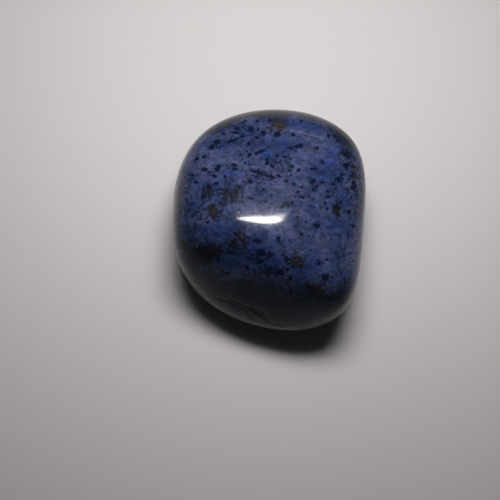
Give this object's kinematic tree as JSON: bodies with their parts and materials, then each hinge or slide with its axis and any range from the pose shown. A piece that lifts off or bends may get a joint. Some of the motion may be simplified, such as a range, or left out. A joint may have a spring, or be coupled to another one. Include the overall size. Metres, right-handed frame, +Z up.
{
  "type": "tumbled stone",
  "caption": "Tumbled and polished dumortierite stone, opaque blue with dark flecks, lying on its flattest face.",
  "frame": {"origin": "middle of the stone's bounding box, on the surface that it rests on", "axes": "+Z up, through the stone's thickness; +Y along its length, away from the steep front slope; +X across it"},
  "size_m": [0.0242, 0.028, 0.0164],
  "materials": {
    "dumortierite": "polished by tumbling, glassy"
  },
  "bodies": {
    "root": {"stone": "dumortierite"}
  },
  "joints": []
}
